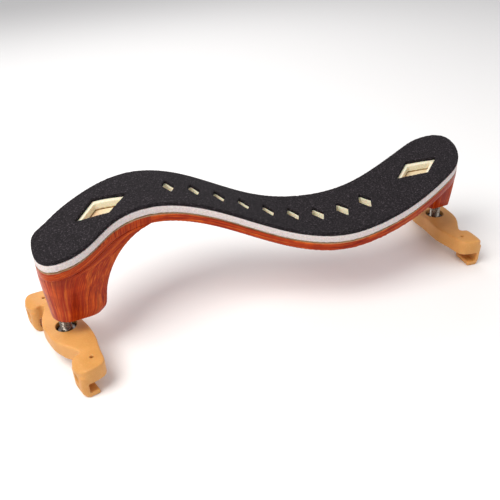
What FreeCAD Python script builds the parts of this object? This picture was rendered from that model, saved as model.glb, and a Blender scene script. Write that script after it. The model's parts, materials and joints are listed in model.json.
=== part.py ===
import FreeCAD
import Part
import os

# Violin shoulder rest: an S-shaped maple board on two legs, with a layered cushion on top
# and a claw fork on a screw post under each leg.  Millimetres, +Z up, +X from the chest end
# to the shoulder end, +Y towards the instrument's neck.  The rest is drawn about the point
# midway between the two posts, level with the edge of the instrument's back.  Its pieces
# are then moved together, so that the origin is the bottom centre of the rest's own box.

Vector = FreeCAD.Vector
Rotation = FreeCAD.Rotation
Placement = FreeCAD.Placement
UP = Vector(0, 0, 1)
ACROSS = Vector(0, 1, 0)
CHEST = -1
SHOULDER = 1

# ---------------------------------------------------------------- driving dimensions

SIZES = {
    # board and cushion
    "post_span": 190.4,             # between the axes of the two screw posts
    "board_width": 34.2,
    "board_thick": 3.7,
    "film_thick": 0.3,
    "pale_foam_thick": 3.1,
    "black_foam_thick": 1.6,
    # two diamond windows in the cushion
    "window_rim": 1.5,              # ledge of pale foam inside the black foam's edge
    "chest_window_at": -77.0,       # along the centre line from the middle of the board
    "chest_window_aside": -1.5,     # off the centre line, along Y
    "chest_window_long": 24.0,
    "chest_window_wide": 16.6,
    "chest_window_turn": 9.0,       # degrees
    "shoulder_window_at": 76.5,
    "shoulder_window_aside": -0.3,
    "shoulder_window_long": 23.4,
    "shoulder_window_wide": 14.4,
    "shoulder_window_turn": 4.0,    # degrees
    # row of small diamond vents through board and cushion
    "vent_long": 13.0,              # across the board
    "vent_wide": 5.6,
    "vent_pitch": 11.2,
    "vent_middle": -1.1,
    "vent_turn": -8.0,              # degrees
    # legs
    "leg_bottom": 15.0,             # above the instrument's edge
    "leg_rise": 30.0,               # over which a leg flares to its head
    "chest_leg_inset": 6.1,         # from the post to the middle of the leg's end
    "chest_leg_length": 21.4,
    "chest_leg_depth": 16.0,
    "chest_leg_back": -1.5,         # of the middle of the leg's end from the post, along Y
    "chest_leg_round": 7.6,
    "chest_head_length": 58.0,
    "chest_head_depth": 46.0,
    "chest_head_round": 16.0,
    "chest_head_inward": 16.1,      # of the head's middle from the leg's end
    "chest_head_back": 9.0,
    "chest_flare": 29.0,            # how far the leg's inner side runs out under the board
    "chest_heel": 3.0,              # height of the round under the leg's inner side
    "shoulder_leg_inset": 0.4,
    "shoulder_leg_back": 0.0,
    "shoulder_leg_length": 16.0,
    "shoulder_leg_depth": 13.4,
    "shoulder_leg_round": 2.5,
    "shoulder_head_length": 30.0,
    "shoulder_head_depth": 36.0,
    "shoulder_head_round": 4.0,
    "shoulder_head_inward": 2.6,
    "shoulder_head_back": 1.0,
    # screw posts in brass inserts
    "thread_radius": 2.5,
    "running_clearance": 0.05,
    "insert_radius": 3.6,
    "insert_length": 9.0,
    "post_engaged": 11.0,           # length of post inside the leg
    "bore_spare": 5.9,              # free bore above the post
    "journal_radius": 1.9,
    "end_float": 0.1,
    "washer_radius": 3.6,
    "washer_thick": 0.6,
    "clip_radius": 3.3,
    "clip_thick": 0.8,
    "tail_length": 0.7,             # of the journal, below its clip
    # forks, each with a silicone cover over a steel core
    "fork_turn": 9.4,               # degrees, to follow the instrument's edge
    "fork_bottom": 1.0,
    "fork_thick": 7.0,
    "fork_length": 63.5,
    "fork_width": 15.4,
    "notch_at": 23.0,               # from the post, along the fork
    "notch_reach": 3.4,             # from the fork's middle line to the notch
    "claw_at": 26.0,
    "claw_length": 11.5,
    "claw_reach": 7.8,              # from the fork's middle line to the claw's outer face
    "claw_wall": 2.6,
    "claw_drop": 5.6,
    "lip_thick": 2.0,
    "lip_reach": 4.0,
    "eye_radius": 4.3,
    "pin_radius": 0.8,              # holes left by the pins that hold the core in its mould
    "pin_at": 25.0,
    "core_height": 2.6,             # of the core's underside above the cover's
    "core_thick": 2.0,
    "core_length": 49.0,
    "core_width": 5.0,
    "core_offset": 1.2,             # of the strip, inwards from the post
    "core_boss_radius": 5.2,
    "core_skin": 0.6,               # of silicone under the steel claws' lips
    "core_side_skin": 1.3,          # of silicone outside the steel claws' walls
    "tongue_thick": 0.9,
    "tongue_length": 5.4,
    # working space
    "sky": 120.0,                   # taller than the rest
    "side_room": 60.0,              # more than half the board's whole depth
}

# The board as a loft table.  Each station has its place as a share of half the post span,
# the middle of the board there, how full the board is (half its depth along Y as a share of
# half the board's width), and the height of the cushion's top.
STATIONS = [
    ("chest_nose", -0.987, 1.6, 0.88, 46.3),
    ("chest_round", -0.882, 7.2, 1.08, 47.6),
    ("chest_window", -0.735, 13.3, 0.99, 51.4),
    ("hump", -0.546, 16.7, 1.01, 52.7),
    ("hump_fall", -0.294, 12.4, 1.14, 47.1),
    ("middle", 0.0, -1.1, 1.15, 35.9),
    ("trough", 0.231, -9.6, 1.15, 32.8),
    ("bend", 0.420, -13.0, 1.06, 35.0),
    ("shoulder_rise", 0.630, -11.0, 1.04, 39.0),
    ("shoulder_round", 0.819, -6.1, 1.00, 43.0),
    ("shoulder_nose", 0.966, 0.1, 0.81, 44.7),
]
TIPS = [("chest_tip", -1.060, 2.6), ("shoulder_tip", 1.034, 12.0)]
VENT_COUNT = 9

doc = FreeCAD.newDocument("shoulder_rest")
sheet = doc.addObject("Spreadsheet::Sheet", "sizes")


def fill_sheet():
    cells = dict(SIZES)
    for name, share, centre, fullness, top in STATIONS:
        cells[f"{name}_share"] = share
        cells[f"{name}_centre"] = centre
        cells[f"{name}_fullness"] = fullness
        cells[f"{name}_top"] = top
    for name, share, centre in TIPS:
        cells[f"{name}_share"] = share
        cells[f"{name}_centre"] = centre
    for row, (alias, value) in enumerate(cells.items(), start=1):
        sheet.set(f"A{row}", alias)
        sheet.set(f"B{row}", str(value))
        sheet.setAlias(f"B{row}", alias)
    doc.recompute()


def size(alias):
    return float(sheet.get(alias))


def bind(item, prop, text):
    """Tie a property to the sheet; each word of the text is an alias."""
    spaced = text.replace("(", " ( ").replace(")", " ) ")
    words = [f"sizes.{word}" if word[0].isalpha() else word for word in spaced.split()]
    item.setExpression(prop, " ".join(words))


# ---------------------------------------------------------------- small builders

def cylinder(name, radius, height, bottom):
    item = doc.addObject("Part::Cylinder", name)
    bind(item, "Radius", radius)
    bind(item, "Height", height)
    bind(item, "Placement.Base.z", bottom)
    return item


def box(name, lengths, corner):
    """A box from the texts of its three lengths and of its lowest corner."""
    item = doc.addObject("Part::Box", name)
    for prop, text in zip(("Length", "Width", "Height"), lengths):
        bind(item, prop, text)
    for axis, text in zip("xyz", corner):
        bind(item, f"Placement.Base.{axis}", text)
    return item


def cut(name, base, tool):
    item = doc.addObject("Part::Cut", name)
    item.Base = base
    item.Tool = tool
    return item


def fuse(name, pieces):
    item = doc.addObject("Part::MultiFuse", name)
    item.Shapes = pieces
    item.Refine = True
    return item


def common(name, pieces):
    item = doc.addObject("Part::MultiCommon", name)
    item.Shapes = pieces
    return item


def outline(name, shape):
    """A free-form outline, which Part's own functions make from the sheet's values."""
    item = doc.addObject("Part::Feature", name)
    item.Shape = shape
    return item


def extrusion(name, base, direction, length):
    item = doc.addObject("Part::Extrusion", name)
    item.Base = base
    item.DirMode = "Custom"
    item.Dir = direction
    item.Solid = True
    bind(item, "LengthFwd", length)
    return item


def smooth(points, closed=False):
    curve = Part.BSplineCurve()
    curve.interpolate(Points=points, PeriodicFlag=closed)
    return curve


def face_of(edges):
    return Part.Face(Part.Wire(Part.__sortEdges__(edges)))


def polygon(points):
    return Part.makePolygon(points + points[:1])


def rounded_rectangle(length, depth, corner, middle):
    """A wire about a middle point, with arcs at its corners."""
    half_x = length / 2
    half_y = depth / 2
    signs = [(-1, -1), (1, -1), (1, 1), (-1, 1)]
    wire = polygon([middle + Vector(x * half_x, y * half_y) for x, y in signs])
    prism = Part.Face(wire).extrude(UP)
    uprights = [edge for edge in prism.Edges if abs(edge.tangentAt(edge.FirstParameter).z) > 0.5]
    rounded = prism.makeFillet(corner, uprights)
    bottom = min(rounded.Faces, key=lambda face: face.CenterOfMass.z)
    return bottom.OuterWire


# ---------------------------------------------------------------- board and cushion

def station_points(fields):
    """One point for each station, from a function of its name and its place along X."""
    half_span = size("post_span") / 2
    return [fields(name, half_span * size(f"{name}_share")) for name, *_ in STATIONS]


def board_outline():
    half_width = size("board_width") / 2

    def side(sign):
        def point(name, x):
            reach = sign * half_width * size(f"{name}_fullness")
            return Vector(x, size(f"{name}_centre") + reach, 0)
        return station_points(point)

    half_span = size("post_span") / 2
    tips = [Vector(half_span * size(f"{name}_share"), size(f"{name}_centre"), 0) for name, *_ in TIPS]
    ring = [tips[0]] + side(-1) + [tips[1]] + side(1)[::-1]
    return Part.Face(Part.Wire(smooth(ring, closed=True).toShape()))


def side_view(lowered):
    """The cushion's top seen from the side, lowered, and run on straight past both ends."""
    points = station_points(lambda name, x: Vector(x, -size("side_room"), size(f"{name}_top") - lowered))
    before = points[0] + (points[0] - points[1]) * 1.3
    after = points[-1] + (points[-1] - points[-2]) * 1.3
    return [before] + points + [after]


def slab(name, upper, lower):
    """The space between two lowered side views, across the whole depth."""
    high = side_view(upper)
    low = side_view(lower)
    edges = [
        smooth(high).toShape(),
        Part.makeLine(high[-1], low[-1]),
        smooth(low).toShape(),
        Part.makeLine(low[0], high[0]),
    ]
    return extrusion(name, outline(name + "_view", face_of(edges)), ACROSS, "2 * side_room")


def upright_diamond(name, long_half, wide_half):
    points = [Vector(long_half, 0), Vector(0, wide_half), Vector(-long_half, 0), Vector(0, -wide_half)]
    return extrusion(name, outline(name + "_outline", Part.Face(polygon(points))), UP, "sky")


def stand_on_line(item, distance, aside, turn):
    """Move an upright prism along the board's centre line and off it."""
    line = smooth(station_points(lambda name, x: Vector(x, size(f"{name}_centre"), size(f"{name}_top"))))
    middle = line.parameter(Vector(0, size("middle_centre"), size("middle_top")))
    spot = line.parameterAtDistance(distance, middle)
    point = line.value(spot)
    item.Placement = Placement(Vector(point.x, point.y + aside, 0), Rotation(turn, 0, 0))


def vents():
    prisms = []
    for number in range(VENT_COUNT):
        prism = upright_diamond(f"vent_{number}", size("vent_wide") / 2, size("vent_long") / 2)
        steps = number - (VENT_COUNT - 1) / 2
        stand_on_line(prism, size("vent_middle") + steps * size("vent_pitch"), 0, size("vent_turn"))
        prisms.append(prism)
    return prisms


def windows(name, inset):
    """Both diamond windows, with their sides moved in."""
    prisms = []
    for window in ("chest_window", "shoulder_window"):
        long_half = size(f"{window}_long") / 2
        wide_half = size(f"{window}_wide") / 2
        scale = 1 - inset * (long_half**2 + wide_half**2) ** 0.5 / (long_half * wide_half)
        prism = upright_diamond(f"{name}_{window}", long_half * scale, wide_half * scale)
        stand_on_line(prism, size(f"{window}_at"), size(f"{window}_aside"), size(f"{window}_turn"))
        prisms.append(prism)
    return prisms


def arch_layers(prism):
    """The board and the layers on it, each cut from the space under the one above."""
    black = size("black_foam_thick")
    pale = black + size("pale_foam_thick")
    film = pale + size("film_thick")
    board = film + size("board_thick")
    holes = vents()
    wide_holes = fuse("wide_holes", holes + windows("wide", 0))
    narrow_holes = fuse("narrow_holes", holes + windows("narrow", size("window_rim")))
    vent_holes = fuse("vent_holes", holes)
    layers = [
        ("black_foam", 0, black, wide_holes),
        ("pale_foam", black, pale, narrow_holes),
        ("adhesive_film", pale, film, narrow_holes),
        ("maple_board", film, board, vent_holes),
    ]
    pieces = {}
    for name, upper, lower, openings in layers:
        blank = common(name + "_blank", [prism, slab(name + "_slab", upper, lower)])
        pieces[name] = cut(name, blank, openings)
    return pieces, board


# ---------------------------------------------------------------- legs

def leg_section(name, part, middle):
    length, depth, corner = (size(f"{name}_{part}_{field}") for field in ("length", "depth", "round"))
    return rounded_rectangle(length, depth, corner, middle)


def leg_blank(name, side):
    """A flared block, lofted from the leg's end to its head under the board."""
    end_x = side * (size("post_span") / 2 - size(f"{name}_leg_inset"))
    end = Vector(end_x, size(f"{name}_leg_back"), size("leg_bottom"))
    head_x = end_x - side * size(f"{name}_head_inward")
    head = Vector(head_x, size(f"{name}_head_back"), size("leg_bottom") + size("leg_rise"))
    sections = [leg_section(name, "leg", end), leg_section(name, "head", head)]
    return outline(name + "_leg_blank", Part.makeLoft(sections, True, True))


def chest_leg_side(board_bottom):
    """Side view of the chest leg, whose inner side sweeps up and out into the board."""
    room = -size("side_room")
    heel = size("chest_heel")
    inner = -size("post_span") / 2 + size("chest_leg_inset") + size("chest_leg_length") / 2
    bottom = size("leg_bottom")
    crown = size("hump_top") - board_bottom
    rise = crown - bottom
    flare = size("chest_flare")
    shares = [(0.04, 0.30), (0.20, 0.60), (0.52, 0.86), (1.00, 1.04)]
    sweep = [Vector(inner - 1.3 * heel, room, bottom), Vector(inner - 0.1 * heel, room, bottom + heel)]
    sweep += [Vector(inner + out * flare, room, bottom + up * rise) for out, up in shares]
    outer = inner - size("side_room")
    edges = [
        smooth(sweep).toShape(),
        Part.makeLine(sweep[-1], Vector(inner + flare, room, size("sky"))),
        Part.makeLine(Vector(inner + flare, room, size("sky")), Vector(outer, room, size("sky"))),
        Part.makeLine(Vector(outer, room, size("sky")), Vector(outer, room, bottom)),
        Part.makeLine(Vector(outer, room, bottom), sweep[0]),
    ]
    return extrusion("chest_leg_side", outline("chest_leg_view", face_of(edges)), ACROSS, "2 * side_room")


def leg(name, side, blanks):
    """A leg, bored for its insert and, above that, for the post."""
    solid = common(name + "_leg_solid", blanks)
    seat = cylinder(name + "_seat", "insert_radius", "insert_length", "leg_bottom")
    well = cylinder(name + "_well", "thread_radius + 2 * running_clearance",
                    "post_engaged + bore_spare", "leg_bottom")
    for tool in (seat, well):
        bind(tool, "Placement.Base.x", f"{side} * post_span / 2")
    return cut(name + "_leg", solid, fuse(name + "_leg_bore", [seat, well]))


def legs(prism, board_bottom):
    under = slab("under_board", board_bottom, board_bottom + size("sky") / 2)
    chest = [prism, under, chest_leg_side(board_bottom), leg_blank("chest", CHEST)]
    shoulder = [prism, under, leg_blank("shoulder", SHOULDER)]
    return {"chest_leg": leg("chest", CHEST, chest), "shoulder_leg": leg("shoulder", SHOULDER, shoulder)}


# ---------------------------------------------------------------- post and fork of one side

CORE_TOP = "fork_bottom + core_height + core_thick"
CORE_BOTTOM = "fork_bottom + core_height"
SHANK_BOTTOM = CORE_TOP + " + end_float + washer_thick"
LIP_END = "claw_reach - claw_wall - lip_reach"


def insert(name):
    outer = cylinder(name + "_insert_body", "insert_radius", "insert_length", "leg_bottom")
    bore = cylinder(name + "_insert_bore", "thread_radius", "insert_length", "leg_bottom")
    return cut(name + "_insert", outer, bore)


def post(name):
    shank = cylinder(name + "_shank", "thread_radius - running_clearance",
                     f"leg_bottom + post_engaged - ( {SHANK_BOTTOM} )", SHANK_BOTTOM)
    foot = f"{CORE_BOTTOM} - end_float - clip_thick - tail_length"
    journal = cylinder(name + "_journal", "journal_radius", f"{SHANK_BOTTOM} - ( {foot} )", foot)
    return fuse(name + "_post", [shank, journal])


def ring(name, radius, thick, bottom):
    disc = cylinder(name + "_disc", radius, thick, bottom)
    hole = cylinder(name + "_hole", "journal_radius", thick, bottom)
    return cut(name, disc, hole)


def fork_outline():
    """Half the fork from its inner side round its end to the notch and the lobe, mirrored."""
    half = size("fork_length") / 2
    width = size("fork_width") / 2
    claw = size("claw_at")
    reach = size("claw_reach")
    arm = size("claw_length") / 2
    notch = size("notch_at")
    quarter = [
        (-0.92 * width, 0),
        (-0.86 * width, 0.65 * notch),
        (-0.60 * width, claw - 0.4 * arm),
        (-0.30 * width, claw + 0.8 * arm),
        (0.20 * reach, half),
        (0.78 * reach, half - 0.5),
        (reach, claw + 0.4 * arm),
        (reach, claw - 0.4 * arm),
        (0.72 * reach, claw - arm),
        (size("notch_reach"), notch - 0.5 * arm),
        (0.80 * width, 0.5 * notch),
        (1.08 * width, 0),
    ]
    upper = [Vector(x, y, 0) for x, y in quarter]
    lower = [Vector(x, -y, 0) for x, y in quarter[-2:0:-1]]
    return Part.Face(Part.Wire(smooth(upper + lower, closed=True).toShape()))


def claw_boxes(name, sign, length, outer, bottom, top, wall_thick, lip_thick, lip_end):
    """The upright wall and the lip of one claw, as boxes from the texts of their limits."""
    tag = "far" if sign > 0 else "near"
    start = f"{sign} * claw_at - {length} / 2"
    wall = box(f"{name}_{tag}_wall", (wall_thick, length, f"{top} - ( {bottom} )"),
               (f"{outer} - {wall_thick}", start, bottom))
    lip = box(f"{name}_{tag}_lip", (f"{outer} - ( {lip_end} )", length, lip_thick),
              (lip_end, start, bottom))
    return [wall, lip]


def core(name):
    """The steel inside the cover: strip, boss and two bent claws."""
    strip = box(f"{name}_strip", ("core_width", "core_length", "core_thick"),
                ("0 - core_offset - core_width / 2", "0 - core_length / 2", CORE_BOTTOM))
    boss = cylinder(f"{name}_boss", "core_boss_radius", "core_thick", CORE_BOTTOM)
    pieces = [strip, boss]
    for sign in (-1, 1):
        tag = "far" if sign > 0 else "near"
        pieces.append(box(f"{name}_{tag}_arm",
                          ("claw_reach - core_side_skin + core_offset", "tongue_length", "core_thick"),
                          ("0 - core_offset", f"{sign} * claw_at - tongue_length / 2", CORE_BOTTOM)))
        pieces += claw_boxes(f"{name}_steel", sign, "tongue_length", "claw_reach - core_side_skin",
                             "core_skin - claw_drop", CORE_TOP, "tongue_thick", "tongue_thick",
                             LIP_END + " + core_skin")
    pivot = cylinder(f"{name}_pivot", "journal_radius + running_clearance", "core_thick", CORE_BOTTOM)
    return cut(f"{name}_fork_core", fuse(f"{name}_core_solid", pieces), pivot)


def cover(name, core_solid):
    """The silicone moulded over the core, open at the eye around the post."""
    plate = extrusion(f"{name}_plate", outline(f"{name}_fork_outline", fork_outline()), UP, "fork_thick")
    plate.Placement.Base.z = size("fork_bottom")
    bind(plate, "Placement.Base.z", "fork_bottom")
    pieces = [plate]
    holes = [core_solid, cylinder(f"{name}_eye", "eye_radius", "fork_thick", "fork_bottom")]
    for sign in (-1, 1):
        pieces += claw_boxes(f"{name}_claw", sign, "claw_length", "claw_reach", "0 - claw_drop",
                             "fork_bottom + fork_thick / 2", "claw_wall", "lip_thick", LIP_END)
        pin = cylinder(f"{name}_pin_{sign + 1}", "pin_radius", "fork_thick", CORE_TOP)
        bind(pin, "Placement.Base.y", f"{sign} * pin_at")
        holes.append(pin)
    solid = fuse(f"{name}_cover_solid", pieces)
    return cut(f"{name}_fork_cover", solid, fuse(f"{name}_cover_holes", holes))


def foot(name, side):
    """Everything on one post's axis, drawn with the fork's outer side towards +X."""
    steel = core(name)
    pieces = {
        f"{name}_insert": insert(name),
        f"{name}_post": post(name),
        f"{name}_washer": ring(f"{name}_washer", "washer_radius", "washer_thick", f"{CORE_TOP} + end_float"),
        f"{name}_clip": ring(f"{name}_clip", "clip_radius", "clip_thick",
                             f"{CORE_BOTTOM} - end_float - clip_thick"),
        f"{name}_fork_core": steel,
        f"{name}_fork_cover": cover(name, doc.getObject(f"{name}_core_solid")),
    }
    turn = -size("fork_turn") if side == SHOULDER else 180 + size("fork_turn")
    for item in pieces.values():
        item.Placement = Placement(Vector(side * size("post_span") / 2, 0, 0), Rotation(turn, 0, 0))
    return pieces


# ---------------------------------------------------------------- the whole rest

def check(items):
    for item in doc.Objects:
        if {"Invalid", "Error"} & set(item.State):
            raise RuntimeError(f"{item.Name} failed: {item.State}")
    for name, item in items.items():
        if item.Shape.isNull() or not item.Shape.isValid():
            raise RuntimeError(f"{name} has no valid shape")
        if len(item.Shape.Solids) != 1:
            raise RuntimeError(f"{name} has {len(item.Shape.Solids)} solids")


def centre(items):
    """Move every piece, so that the origin is the bottom centre of the rest's box."""
    whole = Part.makeCompound([item.Shape for item in items.values()]).optimalBoundingBox(False)
    shift = Vector(-(whole.XMin + whole.XMax) / 2, -(whole.YMin + whole.YMax) / 2, -whole.ZMin)
    for item in items.values():
        item.Placement = Placement(shift, Rotation()) * item.Placement
    doc.recompute()
    print("moved by", [round(value, 4) for value in shift])


def main():
    fill_sheet()
    prism = extrusion("outline_prism", outline("board_outline", board_outline()), UP, "sky")
    pieces, board_bottom = arch_layers(prism)
    pieces.update(legs(prism, board_bottom))
    pieces.update(foot("chest", CHEST))
    pieces.update(foot("shoulder", SHOULDER))
    doc.recompute()
    check(pieces)
    centre(pieces)
    check(pieces)
    os.makedirs("parts", exist_ok=True)
    for name, item in pieces.items():
        item.Label = name
        item.Shape.exportStep(f"parts/{name}.step")


main()
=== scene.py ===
"""Looks for the violin shoulder rest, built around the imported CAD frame.

Wood, foam and silicone pieces start from the CAD node's own mesh, which is remeshed finely,
rounded at its edges and given the detail that the CAD leaves out.  Lengths are in metres.
"""

import json
import math

import bmesh
import bpy
import numpy as np
from mathutils import Matrix, Vector

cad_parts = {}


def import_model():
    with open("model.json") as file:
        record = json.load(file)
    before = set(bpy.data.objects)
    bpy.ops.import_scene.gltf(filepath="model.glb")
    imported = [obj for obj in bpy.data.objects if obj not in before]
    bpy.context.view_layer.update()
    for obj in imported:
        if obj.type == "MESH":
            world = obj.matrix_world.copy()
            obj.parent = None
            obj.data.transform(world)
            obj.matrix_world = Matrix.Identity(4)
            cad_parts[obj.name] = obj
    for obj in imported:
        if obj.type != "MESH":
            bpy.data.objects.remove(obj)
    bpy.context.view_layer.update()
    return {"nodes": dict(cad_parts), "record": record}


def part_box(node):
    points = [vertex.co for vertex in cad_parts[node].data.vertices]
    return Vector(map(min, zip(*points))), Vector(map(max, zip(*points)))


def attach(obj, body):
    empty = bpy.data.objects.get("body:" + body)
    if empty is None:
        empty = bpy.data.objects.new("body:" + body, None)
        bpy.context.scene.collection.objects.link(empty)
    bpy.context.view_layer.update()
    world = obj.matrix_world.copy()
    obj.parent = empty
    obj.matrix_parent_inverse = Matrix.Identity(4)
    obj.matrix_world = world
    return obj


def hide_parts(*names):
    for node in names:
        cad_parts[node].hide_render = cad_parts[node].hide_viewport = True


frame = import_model()

MM = 0.001
NODES = frame["nodes"]
MOUNTS = {mount["name"]: mount for mount in frame["record"]["mounts"]}
SIDES = ("chest", "shoulder")
THREAD_PITCH = 0.8 * MM
THREAD_DEPTH = 0.45 * MM
JOURNAL = 1.9 * MM              # radius of the post where its fork turns
POST_BORE = 2.6 * MM            # radius of the legs' bores above their inserts
CLAW_WALL = 2.6 * MM
PLATE_THICK = 7.0 * MM
PIN_AT = 25.0 * MM              # of a fork's pin holes from its post


# ---------------------------------------------------------------- mesh helpers

def link(name, mesh):
    item = bpy.data.objects.new(name, mesh)
    bpy.context.scene.collection.objects.link(item)
    return item


def coordinates(mesh):
    flat = np.zeros(len(mesh.vertices) * 3)
    mesh.vertices.foreach_get("co", flat)
    return flat.reshape(-1, 3)


def set_coordinates(mesh, points):
    mesh.vertices.foreach_set("co", points.ravel())
    mesh.update()


def applied(item, name):
    """The item's mesh with its modifiers applied, in place of the item."""
    graph = bpy.context.evaluated_depsgraph_get()
    mesh = bpy.data.meshes.new_from_object(item.evaluated_get(graph))
    bpy.data.objects.remove(item)
    mesh.name = name
    return link(name, mesh)


def softened(item, chosen, rounds):
    """The item with the chosen points smoothed, which rounds its edges there."""
    group = item.vertex_groups.new(name="soft")
    group.add(np.flatnonzero(chosen).tolist(), 1.0, "REPLACE")
    smooth = item.modifiers.new("smooth", "SMOOTH")
    smooth.factor = 0.5
    smooth.iterations = rounds
    smooth.vertex_group = "soft"
    softer = applied(item, item.name)
    softer.vertex_groups.clear()
    return softer


def remeshed(name, node, voxel, rounds, crisp=None):
    """A fine, evenly divided copy of a CAD node, rounded except where crisp(points) says."""
    source = link(name + "_source", NODES[node].data.copy())
    weld = source.modifiers.new("weld", "WELD")
    weld.merge_threshold = 1e-6
    remesh = source.modifiers.new("remesh", "REMESH")
    remesh.mode = "VOXEL"
    remesh.voxel_size = voxel
    rough = applied(source, name)
    points = coordinates(rough.data)
    chosen = np.ones(len(points), bool) if crisp is None else ~crisp(points)
    item = softened(rough, chosen, rounds)
    item.data.materials.clear()
    item.data.shade_smooth()
    if crisp is not None:
        item.data.set_sharp_from_angle(angle=math.radians(48))
    return item


def store_vector(mesh, name, values):
    layer = mesh.attributes.new(name, "FLOAT_VECTOR", "POINT")
    layer.data.foreach_set("vector", np.asarray(values, np.float32).ravel())


def store_float(mesh, name, values):
    layer = mesh.attributes.new(name, "FLOAT", "POINT")
    layer.data.foreach_set("value", np.asarray(values, np.float32))


def settle(item, body, slot, *nodes):
    """Put a finished piece on its body, in place of its CAD nodes."""
    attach(item, body)
    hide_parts(*nodes)


def post_axis(side):
    low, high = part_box(f"{side}_post")
    return (low + high) / 2


# ---------------------------------------------------------------- shader helpers

class Paint:
    """One material's node tree, with a Principled shader to fill in."""

    def __init__(self, name, **values):
        self.material = bpy.data.materials.new(name)
        self.material.use_nodes = True
        self.tree = self.material.node_tree
        self.shader = self.tree.nodes["Principled BSDF"]
        for socket, value in values.items():
            self.shader.inputs[socket.replace("_", " ")].default_value = value

    def node(self, kind, inputs=(), **settings):
        made = self.tree.nodes.new(kind)
        for key, value in settings.items():
            setattr(made, key, value)
        for key, value in dict(inputs).items():
            self.give(made.inputs[key], value)
        return made

    def give(self, socket, value):
        if isinstance(value, bpy.types.NodeSocket):
            self.tree.links.new(value, socket)
        else:
            socket.default_value = value

    def place(self, stretch, attribute=None):
        """Coordinates in millimetres, stretched; the piece's own, or a stored attribute."""
        if attribute:
            source = self.node("ShaderNodeAttribute", attribute_name=attribute).outputs["Vector"]
            scale = stretch
        else:
            source = self.node("ShaderNodeTexCoord").outputs["Object"]
            scale = [value / MM for value in stretch]
        return self.node("ShaderNodeMapping", {"Vector": source, "Scale": scale}).outputs["Vector"]

    def noise(self, place, scale, detail=3.0, roughness=0.5, distortion=0.0):
        inputs = {
            "Vector": place,
            "Scale": scale,
            "Detail": detail,
            "Roughness": roughness,
            "Distortion": distortion,
        }
        return self.node("ShaderNodeTexNoise", inputs).outputs["Fac"]

    def ramp(self, value, stops):
        made = self.node("ShaderNodeValToRGB", {"Fac": value})
        elements = made.color_ramp.elements
        while len(elements) < len(stops):
            elements.new(0.5)
        for element, (position, colour) in zip(elements, stops):
            element.position = position
            element.color = (*colour, 1.0) if isinstance(colour, tuple) else (colour, colour, colour, 1.0)
        return made.outputs["Color"]

    def mix(self, share, first, second, blend="MIX"):
        made = self.node("ShaderNodeMix", data_type="RGBA", blend_type=blend)
        self.give(made.inputs["Factor"], share)
        for key, value in (("A", first), ("B", second)):
            socket = next(item for item in made.inputs if item.name == key and item.type == "RGBA")
            self.give(socket, value)
        return next(item for item in made.outputs if item.type == "RGBA")

    def scaled(self, value, low, high):
        inputs = {"Value": value, "To Min": low, "To Max": high}
        return self.node("ShaderNodeMapRange", inputs).outputs["Result"]

    def bump(self, height, depth, strength=1.0):
        inputs = {"Height": height, "Distance": depth, "Strength": strength}
        made = self.node("ShaderNodeBump", inputs)
        self.give(self.shader.inputs["Normal"], made.outputs["Normal"])
        return made

    def colour(self, value):
        self.give(self.shader.inputs["Base Color"], value)

    def roughness(self, value):
        self.give(self.shader.inputs["Roughness"], value)


def black_eva():
    """Die-cut foam with a fine speckled skin."""
    paint = Paint("black_eva", Roughness=0.85, Specular_IOR_Level=0.12)
    even = paint.place((1, 1, 1))
    cells = paint.noise(even, 1.7, 4.0, 0.7)
    specks = paint.noise(even, 1.5, 3.0, 0.75)
    patches = paint.noise(even, 0.05, 2.0)
    ground = paint.ramp(cells, [(0.36, (0.001, 0.0008, 0.001)), (0.62, (0.016, 0.0125, 0.015))])
    light = paint.ramp(specks, [(0.54, 0.0), (0.70, 1.0)])
    speckled = paint.mix(light, ground, (0.085, 0.070, 0.080, 1))
    worn = paint.mix(paint.scaled(patches, 0.0, 0.12), speckled, (0.026, 0.021, 0.024, 1))
    paint.colour(worn)
    paint.roughness(paint.scaled(cells, 0.72, 0.95))
    paint.bump(cells, 0.25 * MM, 0.8)
    return paint.material


def pale_sponge():
    """Fine-celled pale foam, open at its cut sides, and cream where the stored mask says so."""
    paint = Paint("pale_sponge", Roughness=0.9, Specular_IOR_Level=0.2, Subsurface_Weight=0.15)
    paint.shader.inputs["Subsurface Scale"].default_value = 1.5 * MM
    even = paint.place((1, 1, 1))
    cells = paint.noise(even, 1.6, 4.0, 0.7)
    pores = paint.node("ShaderNodeTexVoronoi", {"Vector": even, "Scale": 2.4}).outputs["Distance"]
    layers = paint.noise(paint.place((0.05, 0.05, 1.6)), 1.0, 2.0)
    ground = paint.ramp(cells, [(0.30, (0.50, 0.435, 0.425)), (0.70, (0.78, 0.700, 0.680))])
    toned = paint.mix(paint.scaled(layers, 0.0, 0.35), ground, (0.62, 0.545, 0.530, 1))
    cream = paint.ramp(cells, [(0.30, (0.66, 0.600, 0.430)), (0.70, (0.86, 0.800, 0.620))])
    inner = paint.node("ShaderNodeAttribute", attribute_name="inner").outputs["Fac"]
    tinted = paint.mix(inner, toned, cream)
    pitted = paint.mix(paint.ramp(pores, [(0.04, 0.30), (0.22, 0.0)]), tinted, (0.36, 0.31, 0.28, 1))
    paint.colour(pitted)
    paint.roughness(paint.scaled(cells, 0.82, 0.97))
    paint.bump(cells, 0.10 * MM, 0.5)
    return paint.material


def amber_film():
    """The thin line of adhesive between the foam and the wood."""
    paint = Paint("amber_film", Roughness=0.45)
    even = paint.place((1, 1, 1))
    streaks = paint.noise(even, 0.6, 3.0)
    paint.colour(paint.ramp(streaks, [(0.3, (0.16, 0.075, 0.022)), (0.7, (0.34, 0.19, 0.060))]))
    paint.roughness(paint.scaled(streaks, 0.35, 0.6))
    paint.bump(streaks, 0.03 * MM, 0.4)
    return paint.material


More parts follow.
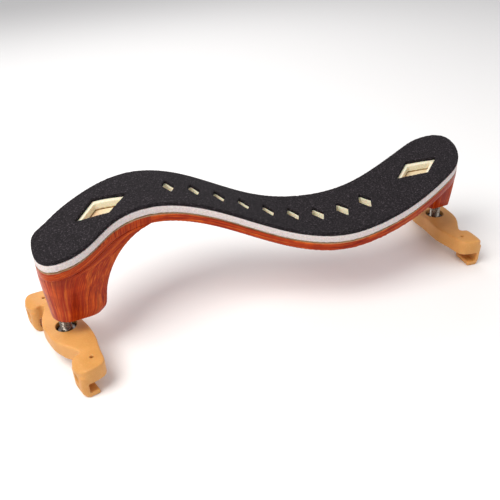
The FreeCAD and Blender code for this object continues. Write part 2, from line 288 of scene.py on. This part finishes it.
def varnished_maple():
    """Figured maple under red-brown varnish; bare where the stored mask says so.

    The stored "grain" runs along the wood's fibres in X, across them in Y and Z, in millimetres.
    """
    paint = Paint("varnished_maple", Coat_Weight=0.08, Coat_Roughness=0.12, Specular_IOR_Level=0.10)
    streaks = paint.noise(paint.place((0.035, 1.0, 1.0), "grain"), 1.15, 5.0, 0.55, 0.2)
    bands = paint.noise(paint.place((0.018, 0.36, 0.36), "grain"), 0.8, 3.0, 0.5, 0.25)
    pores = paint.noise(paint.place((0.22, 3.4, 3.4), "grain"), 1.0, 2.0, 0.5)
    flame = paint.noise(paint.place((0.28, 0.05, 0.05), "grain"), 1.0, 2.0, 0.5)
    clouds = paint.noise(paint.place((0.02, 0.045, 0.045), "grain"), 1.0, 2.0)
    fine = paint.ramp(streaks, [
        (0.37, (0.10, 0.0030, 0.0004)),
        (0.46, (0.32, 0.019, 0.0014)),
        (0.56, (0.58, 0.080, 0.0060)),
        (0.68, (0.84, 0.240, 0.034)),
    ])
    wide = paint.ramp(bands, [
        (0.36, (0.22, 0.0090, 0.0008)),
        (0.50, (0.46, 0.045, 0.0030)),
        (0.64, (0.74, 0.150, 0.016)),
    ])
    wood = paint.mix(0.45, fine, wide)
    figured = paint.mix(paint.ramp(flame, [(0.40, 0.30), (0.60, 0.0)]), wood, (0.19, 0.0070, 0.0010, 1))
    shaded = paint.mix(paint.ramp(clouds, [(0.38, 0.45), (0.62, 0.0)]), figured, (0.22, 0.0080, 0.0010, 1))
    pored = paint.mix(paint.ramp(pores, [(0.32, 0.55), (0.42, 0.0)]), shaded, (0.060, 0.0020, 0.0005, 1))
    sapwood = paint.ramp(streaks, [(0.35, 0.0), (0.65, 0.5)])
    raw = paint.mix(sapwood, (0.78, 0.71, 0.49, 1), (0.62, 0.52, 0.30, 1))
    bare = paint.node("ShaderNodeAttribute", attribute_name="bare").outputs["Fac"]
    paint.colour(paint.mix(bare, pored, raw))
    paint.roughness(paint.mix(bare, paint.scaled(bands, 0.26, 0.42), (0.62, 0.62, 0.62, 1)))
    paint.bump(streaks, 0.025 * MM, 0.35)
    return paint.material


def tan_silicone():
    """Moulded silicone with a satin skin, darkened by painted shade where the stored mask marks a hollow.
    """
    paint = Paint("tan_silicone", Roughness=0.5, Subsurface_Weight=0.12, Specular_IOR_Level=0.4)
    paint.shader.inputs["Subsurface Scale"].default_value = 1.6 * MM
    even = paint.place((1, 1, 1))
    clouds = paint.noise(even, 0.09, 3.0)
    skin = paint.noise(even, 1.6, 4.0, 0.6)
    marks = paint.noise(paint.place((0.25, 2.2, 0.25)), 1.0, 3.0, 0.6)
    ground = paint.ramp(clouds, [(0.3, (0.54, 0.245, 0.055)), (0.7, (0.66, 0.320, 0.090))])
    dusted = paint.mix(paint.ramp(skin, [(0.45, 0.0), (0.80, 0.30)]), ground, (0.76, 0.43, 0.165, 1))
    marked = paint.mix(paint.ramp(marks, [(0.62, 0.0), (0.80, 0.25)]), dusted, (0.44, 0.20, 0.042, 1))
    # Painted shade: the silicone is darkened inside the pressed hollows, where shade falls.
    hollow_shade = paint.node("ShaderNodeAttribute", attribute_name="hollow_shade").outputs["Fac"]
    paint.colour(paint.mix(hollow_shade, marked, (0.28, 0.125, 0.022, 1)))
    paint.roughness(paint.scaled(skin, 0.40, 0.62))
    paint.bump(skin, 0.03 * MM, 0.4)
    return paint.material


def metal(name, dark, bright, smooth, rough, brushed):
    """Plated or turned metal, with fine marks round it."""
    paint = Paint(name, Metallic=1.0)
    marks = paint.noise(paint.place(brushed), 1.0, 4.0, 0.6)
    stains = paint.noise(paint.place((1, 1, 1)), 0.7, 3.0)
    ground = paint.ramp(stains, [(0.3, dark), (0.7, bright)])
    paint.colour(paint.mix(paint.ramp(marks, [(0.5, 0.0), (0.8, 0.25)]), ground, (*dark, 1)))
    paint.roughness(paint.scaled(marks, smooth, rough))
    paint.bump(marks, 0.01 * MM, 0.3)
    return paint.material


BLACK_EVA = black_eva()
PALE_SPONGE = pale_sponge()
AMBER_FILM = amber_film()
MAPLE = varnished_maple()
SILICONE = tan_silicone()
# The nickel's colours are darkened and warmed as a painted reflection of the red wood round the post.
NICKEL = metal("nickel", (0.20, 0.165, 0.135), (0.50, 0.45, 0.39), 0.18, 0.36, (0.6, 0.6, 6.0))
BRASS = metal("brass", (0.55, 0.36, 0.13), (0.82, 0.60, 0.27), 0.22, 0.42, (0.6, 0.6, 6.0))
STEEL = metal("steel", (0.07, 0.06, 0.055), (0.18, 0.165, 0.155), 0.35, 0.55, (2.0, 2.0, 0.5))


# ---------------------------------------------------------------- board and cushion

def centre_line(mesh):
    """Along the cushion: place in X, middle in Y, top in Z, and length so far."""
    points = coordinates(mesh)
    edges = np.linspace(points[:, 0].min(), points[:, 0].max(), 126)
    bins = np.clip(np.digitize(points[:, 0], edges) - 1, 0, 124)
    x = (edges[1:] + edges[:-1]) / 2
    y = np.array([(points[bins == n, 1].min() + points[bins == n, 1].max()) / 2 for n in range(125)])
    z = np.array([points[bins == n, 2].max() for n in range(125)])
    steps = np.sqrt(np.diff(x) ** 2 + np.diff(y) ** 2 + np.diff(z) ** 2)
    return x, y, z, np.concatenate([[0.0], np.cumsum(steps)])


def flow(points, line):
    """Each point's length along the line, offset from it, and depth below the top."""
    x, y, z, run = line
    along = np.interp(points[:, 0], x, run)
    across = points[:, 1] - np.interp(points[:, 0], x, y)
    depth = np.interp(points[:, 0], x, z) - points[:, 2]
    return along, across, depth


def black_layer():
    """The black foam; gives the centre line that the pieces below it follow."""
    item = remeshed("cushion_top", "black_foam", 0.32 * MM, 2)
    item.data.materials.append(BLACK_EVA)
    settle(item, "arch", "black_eva", "black_foam")
    return centre_line(item.data)


def pale_layer():
    """The pale foam, cream inside its openings."""
    item = remeshed("cushion_base", "pale_foam", 0.36 * MM, 3)
    along, across, _ = flow(coordinates(item.data), LINE)
    ends = 14 * MM
    inner = (np.abs(across) < 10.5 * MM) & (along > ends) & (along < LINE[3][-1] - ends)
    store_float(item.data, "inner", inner)
    item.data.materials.append(PALE_SPONGE)
    settle(item, "arch", "pale_sponge", "pale_foam")


def painted(node, material):
    """A CAD node kept as it is, with a material of its own."""
    NODES[node].data.materials.clear()
    NODES[node].data.materials.append(material)


LINE = black_layer()
pale_layer()
painted("adhesive_film", AMBER_FILM)


def board_depths():
    """Depth of the board's top and bottom faces below the cushion's top."""
    depth = flow(coordinates(NODES["maple_board"].data), LINE)[2]
    return np.percentile(depth, 5), np.percentile(depth, 95)


BOARD_TOP, BOARD_BOTTOM = board_depths()
LEG_HEADS = (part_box("chest_leg")[1].x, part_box("shoulder_leg")[0].x)


def at_leg_joint(points):
    """Where board and legs are flush with each other, so that no groove shows between them."""
    depth = flow(points, LINE)[2]
    near_joint = np.abs(depth - BOARD_BOTTOM) < 1.0 * MM
    over_leg = (points[:, 0] < LEG_HEADS[0] + 1 * MM) | (points[:, 0] > LEG_HEADS[1] - 1 * MM)
    return near_joint & over_leg


def figure_of(leg_points):
    """A leg's figure as a function of points: its fibres rise with it, and spread as it widens."""
    levels = np.linspace(leg_points[:, 2].min(), leg_points[:, 2].max(), 41)
    slots = np.clip(np.digitize(leg_points[:, 2], levels) - 1, 0, 39)
    heights = (levels[1:] + levels[:-1]) / 2
    lows = np.array([leg_points[slots == n].min(axis=0) for n in range(40)])
    highs = np.array([leg_points[slots == n].max(axis=0) for n in range(40)])

    def share(points, axis):
        low = np.interp(points[:, 2], heights, lows[:, axis])
        high = np.interp(points[:, 2], heights, highs[:, axis])
        return (points[:, axis] - low) / (high - low)

    def figure(points):
        return np.stack([points[:, 2] * 1.2 / MM, share(points, 0) * 34, share(points, 1) * 24], axis=1)

    return figure


def board(chest_figure):
    """The board, with figure along it, but matched to the leg's where it is flush with it."""
    item = remeshed("board", "maple_board", 0.40 * MM, 6, at_leg_joint)
    points = coordinates(item.data)
    along, across, depth = flow(points, LINE)
    grain = np.stack([along, across, depth * 2.2], axis=1) / MM
    matched = points[:, 0] < LEG_HEADS[0]
    grain[matched] = chest_figure(points[matched])
    store_vector(item.data, "grain", grain)
    upper = np.clip(1 - (depth - BOARD_TOP) / (0.40 * MM), 0, 1)
    near_vents = (np.abs(across) < 9 * MM) & (points[:, 0] > -55 * MM) & (points[:, 0] < 50 * MM)
    inside = near_vents & (depth < BOARD_BOTTOM - 0.6 * MM)
    store_float(item.data, "bare", np.maximum(upper, inside.astype(float)))
    item.data.materials.append(MAPLE)
    settle(item, "arch", "varnished_maple", "maple_board")


def leg(side):
    """A leg with its bores kept round; gives its figure."""
    item = remeshed(f"{side}_leg_wood", f"{side}_leg", 0.40 * MM, 12, at_leg_joint)
    points = coordinates(item.data)
    axis = post_axis(side)
    seat_low, seat_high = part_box(f"{side}_insert")
    offset = points[:, :2] - np.array(axis[:2])
    radius = np.linalg.norm(offset, axis=1)
    seat_radius = (seat_high.x - seat_low.x) / 2
    between = (POST_BORE + seat_radius) / 2
    in_bore = radius < between
    in_seat = ~in_bore & (radius < seat_radius + 0.12 * MM) & (points[:, 2] < seat_high.z)
    for chosen, wanted in ((in_bore, POST_BORE), (in_seat, seat_radius)):
        scale = wanted / np.maximum(radius[chosen], 1e-6)
        points[chosen, :2] = np.array(axis[:2]) + offset[chosen] * scale[:, None]
    set_coordinates(item.data, points)
    figure = figure_of(points)
    store_vector(item.data, "grain", figure(points))
    store_float(item.data, "bare", np.zeros(len(points)))
    item.data.materials.append(MAPLE)
    settle(item, "arch", "varnished_maple", f"{side}_leg")
    return figure


figures = {side: leg(side) for side in SIDES}
board(figures["chest"])


# ---------------------------------------------------------------- forks

class Fork:
    """One fork's own axes: U along it to its neck claw, V outwards, W up, in metres."""

    def __init__(self, side):
        neck, tail = (MOUNTS[f"{side}_{end}_claw"] for end in ("neck", "tail"))
        span = Vector(neck["pos_m"]) - Vector(tail["pos_m"])
        self.claw_at = span.length / 2
        self.axes = np.array([span.normalized(), -Vector(neck["axis"]), (0, 0, 1)])
        self.low, self.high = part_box(f"{side}_fork_cover")
        axis = post_axis(side)
        self.origin = np.array([axis.x, axis.y, 0.0])
        self.mouth = neck["pos_m"][2]
        inner_face = np.array(neck["pos_m"]) - self.origin
        self.face = float(inner_face @ self.axes[1]) + CLAW_WALL

    def inwards(self, points):
        return (points - self.origin) @ self.axes.T

    def outwards(self, local):
        return local @ self.axes + self.origin


def ease(values, start, end):
    """Rises smoothly from 0 at start to 1 at end."""
    share = np.clip((values - start) / (end - start), 0, 1)
    return share * share * (3 - 2 * share)


def shape_claws(local, fork):
    """Round each claw's wall in plan, its shoulder and its foot, and taper it downwards."""
    plate_top = fork.high.z
    plate_middle = plate_top - PLATE_THICK / 2
    for sign in (-1, 1):
        offset = local[:, 0] - sign * fork.claw_at
        inside = (np.abs(offset) < 7.5 * MM).astype(float)
        outer = np.clip((local[:, 1] - fork.face + CLAW_WALL) / CLAW_WALL, 0, 1)
        below = ease(-local[:, 2], -plate_middle - 2.0 * MM, -plate_middle + 1.5 * MM)
        taper = np.clip((plate_middle - local[:, 2]) / (plate_middle - fork.low.z), 0, 1)
        narrowing = inside * below * (0.26 * outer**2 + 0.10 * taper)
        shoulder = np.clip((local[:, 1] - fork.face + 3.8 * MM) / (3.8 * MM), 0, 1) ** 2
        above = np.clip((local[:, 2] - plate_middle) / (plate_top - plate_middle), 0, 1)
        foot = np.clip((fork.low.z + 2.0 * MM - local[:, 2]) / (2.0 * MM), 0, 1) ** 2
        local[:, 0] -= offset * narrowing
        local[:, 1] -= inside * foot * outer * 1.0 * MM
        local[:, 2] -= inside * shoulder * above * 1.7 * MM


def press_hollows(local, fork):
    """Press a tall and a small oval hollow into each claw's outer face; return how deep, as the mask for
    the painted shade in them.
    """
    hollow_shade = np.zeros(len(local))
    for sign in (-1, 1):
        for height, half_long, half_high, depth in (
            (3.0 * MM, 1.7 * MM, 2.5 * MM, 1.15 * MM),
            (-1.6 * MM, 1.1 * MM, 0.8 * MM, 0.80 * MM),
        ):
            along = (local[:, 0] - sign * fork.claw_at) / half_long
            up = (local[:, 2] - fork.mouth - height) / half_high
            press = 1 - ease(np.hypot(along, up), 0.80, 1.12)
            press *= local[:, 1] > fork.face - 1.3 * MM
            local[:, 1] -= press * depth
            hollow_shade = np.maximum(hollow_shade, press)
    return hollow_shade


def fork_cover(side):
    """A fork's silicone: soft all round, but crisp at its eye, its pin holes and its lips."""
    node = f"{side}_fork_cover"
    item = remeshed(f"{side}_fork_silicone", node, 0.34 * MM, 6)
    fork = Fork(side)
    local = fork.inwards(coordinates(item.data))
    shape_claws(local, fork)
    set_coordinates(item.data, fork.outwards(local))
    from_pins = np.minimum(*(np.hypot(local[:, 0] - sign * PIN_AT, local[:, 1]) for sign in (-1, 1)))
    plain = (np.hypot(local[:, 0], local[:, 1]) > 5.4 * MM) & (from_pins > 2.0 * MM)
    under = (local[:, 2] < fork.mouth + 3.0 * MM) & (local[:, 1] < fork.face - 1.4 * MM)
    item = softened(item, plain & ~under, 26)
    local = fork.inwards(coordinates(item.data))
    # The hollows' mask is stored for the painted shade inside them.
    store_float(item.data, "hollow_shade", 0.45 * press_hollows(local, fork))
    set_coordinates(item.data, fork.outwards(local))
    item.data.materials.append(SILICONE)
    settle(item, f"{side}_fork", "tan_silicone", node)


# ---------------------------------------------------------------- screws, washers, clips

def grid_mesh(name, rows):
    """A closed skin through rings of points, with a flat cap at each end."""
    count = len(rows[0])
    vertices = [point for row in rows for point in row]
    faces = []
    for level in range(len(rows) - 1):
        for n in range(count):
            m = (n + 1) % count
            start = level * count
            faces.append((start + n, start + m, start + count + m, start + count + n))
    faces.append(tuple(range(count))[::-1])
    faces.append(tuple(range((len(rows) - 1) * count, len(rows) * count)))
    mesh = bpy.data.meshes.new(name)
    mesh.from_pydata(vertices, [], faces)
    mesh.validate()
    return mesh


def threaded_post(side):
    """The post with its real helical thread, a chamfered end and a plain journal."""
    low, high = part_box(f"{side}_post")
    washer_low, washer_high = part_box(f"{side}_washer")
    axis = post_axis(side)
    major = (high.x - low.x) / 2
    chamfer = 0.5 * MM
    shoulder = washer_high.z
    around = 48
    rows = []

    def ring(z, radii):
        row = []
        for n, radius in enumerate(radii):
            angle = 2 * math.pi * n / around
            row.append((axis.x + radius * math.cos(angle), axis.y + radius * math.sin(angle), z))
        rows.append(row)

    ring(low.z, [JOURNAL - 0.25 * MM] * around)
    ring(low.z + 0.25 * MM, [JOURNAL] * around)
    ring(shoulder - 0.02 * MM, [JOURNAL] * around)
    ring(shoulder, [major - 0.3 * MM] * around)
    levels = np.arange(shoulder + 0.25 * MM, high.z, THREAD_PITCH / 14)
    for z in levels:
        ends = min(z - shoulder, high.z - z)
        limit = min(major, major - chamfer + ends)
        radii = []
        for n in range(around):
            phase = (z / THREAD_PITCH - n / around) % 1.0
            flank = min(max((abs(2 * phase - 1) - 0.14) / 0.72, 0), 1)
            radii.append(min(major - THREAD_DEPTH * flank, limit))
        ring(z, radii)
    ring(high.z, [major - chamfer] * around)
    mesh = grid_mesh(f"{side}_screw_post", rows)
    mesh.shade_smooth()
    item = link(f"{side}_screw_post", mesh)
    item.data.materials.append(NICKEL)
    settle(item, f"{side}_screw", "nickel", f"{side}_post")


def lathe(name, profile, axis, around, node, material, body, slot):
    """A ring turned from a closed profile of radius and height."""
    vertices = []
    for n in range(around):
        angle = 2 * math.pi * n / around
        vertices += [(axis.x + r * math.cos(angle), axis.y + r * math.sin(angle), z) for r, z in profile]
    count = len(profile)
    faces = []
    for n in range(around):
        here = n * count
        there = ((n + 1) % around) * count
        for k in range(count):
            j = (k + 1) % count
            faces.append((here + k, there + k, there + j, here + j))
    mesh = bpy.data.meshes.new(name)
    mesh.from_pydata(vertices, [], faces)
    mesh.validate()
    mesh.materials.append(material)
    settle(link(name, mesh), body, slot, node)


def washer(side):
    """A stamped washer, with one rounded and one sharp rim."""
    low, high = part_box(f"{side}_washer")
    axis = post_axis(side)
    outer = (high.x - low.x) / 2
    inner = JOURNAL
    soft = 0.15 * MM
    profile = [
        (inner, low.z), (outer - soft, low.z), (outer, low.z + soft), (outer, high.z - 0.4 * soft),
        (outer - 0.4 * soft, high.z), (inner + soft, high.z), (inner, high.z - soft),
    ]
    lathe(f"{side}_washer_disc", profile, axis, 72, f"{side}_washer", STEEL, f"{side}_screw", "steel")


def clip(side):
    """An open retaining clip with three lugs on the journal."""
    low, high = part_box(f"{side}_clip")
    axis = post_axis(side)
    outer = (high.x - low.x) / 2
    grip = JOURNAL + 0.03 * MM
    relief = 2.45 * MM
    turns = np.radians(np.arange(38, 322.1, 4))
    lugs = np.radians([50, 180, 310])
    outside = [(outer * math.cos(t), outer * math.sin(t)) for t in turns]
    inside = []
    for t in turns[::-1]:
        near_lug = min(abs(t - lug) for lug in lugs) < math.radians(15)
        radius = grip if near_lug else relief
        inside.append((radius * math.cos(t), radius * math.sin(t)))
    build = bmesh.new()
    ring = [build.verts.new((axis.x + x, axis.y + y, low.z)) for x, y in outside + inside]
    face = build.faces.new(ring)
    grown = bmesh.ops.extrude_face_region(build, geom=[face])
    moved = [part for part in grown["geom"] if isinstance(part, bmesh.types.BMVert)]
    bmesh.ops.translate(build, verts=moved, vec=(0, 0, high.z - low.z))
    bmesh.ops.recalc_face_normals(build, faces=build.faces)
    rims = [edge for edge in build.edges if abs(edge.verts[0].co.z - edge.verts[1].co.z) < 1e-7]
    bmesh.ops.bevel(build, geom=rims, offset=0.08 * MM, segments=2, affect="EDGES")
    mesh = bpy.data.meshes.new(f"{side}_retaining_clip")
    build.to_mesh(mesh)
    build.free()
    mesh.materials.append(STEEL)
    settle(link(f"{side}_retaining_clip", mesh), f"{side}_screw", "steel", f"{side}_clip")


for side in SIDES:
    fork_cover(side)
    threaded_post(side)
    washer(side)
    clip(side)
    painted(f"{side}_insert", BRASS)
    painted(f"{side}_fork_core", STEEL)


# ---------------------------------------------------------------- floor, light and camera

def floor():
    mesh = bpy.data.meshes.new("floor")
    half = 2.5
    corners = [(-half, -half, 0), (half, -half, 0), (half, half, 0), (-half, half, 0)]
    mesh.from_pydata(corners, [], [(0, 1, 2, 3)])
    item = link("floor", mesh)
    item.location.z = -0.2 * MM
    paint = Paint("floor", Roughness=0.8)
    paint.shader.inputs["Base Color"].default_value = (0.86, 0.85, 0.84, 1)
    mesh.materials.append(paint.material)


def lamp(name, place, target, size, power, colour):
    data = bpy.data.lights.new(name, "AREA")
    data.shape = "RECTANGLE"
    data.size, data.size_y = size
    data.energy = power
    data.color = colour
    item = link(name, data)
    item.location = place
    item.rotation_euler = (Vector(target) - Vector(place)).to_track_quat("-Z", "Y").to_euler()


def world():
    made = bpy.data.worlds.new("studio")
    made.use_nodes = True
    background = made.node_tree.nodes["Background"]
    background.inputs["Color"].default_value = (0.97, 0.97, 1.0, 1)
    background.inputs["Strength"].default_value = 0.50
    bpy.context.scene.world = made
    bpy.context.scene.view_settings.view_transform = "Standard"


def camera():
    """Looks down on the rest from the tail side of its chest end."""
    data = bpy.data.cameras.new("camera")
    data.lens = 46.583
    data.sensor_width = 36.0
    data.shift_x = 0.0265
    data.shift_y = 0.0477
    data.clip_start = 0.01
    data.clip_end = 10.0
    item = link("camera", data)
    right = Vector((0.899693, -0.434089, -0.046031))
    up = Vector((0.273845, 0.479142, 0.833925))
    back = -Vector((0.339942, 0.762882, -0.549955))
    middle = (post_axis("chest") + post_axis("shoulder")) / 2
    edge_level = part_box("chest_insert")[0].z - 15.0 * MM
    place = Vector((middle.x - 0.116735, middle.y - 0.223374, edge_level + 0.168625))
    turn = Matrix((right, up, back)).transposed()
    item.matrix_world = Matrix.Translation(place) @ turn.to_4x4()
    bpy.context.scene.camera = item


floor()
world()
lamp("key", (-0.35, -0.10, 0.55), (0, 0, 0.03), (0.40, 0.40), 4.2, (1.0, 0.98, 0.95))
lamp("fill", (0.45, -0.35, 0.35), (0, 0, 0.03), (0.5, 0.5), 0.7, (0.97, 0.98, 1.0))
lamp("rim", (0.05, 0.50, 0.40), (0, 0, 0.03), (0.6, 0.3), 1.2, (1.0, 1.0, 1.0))
camera()
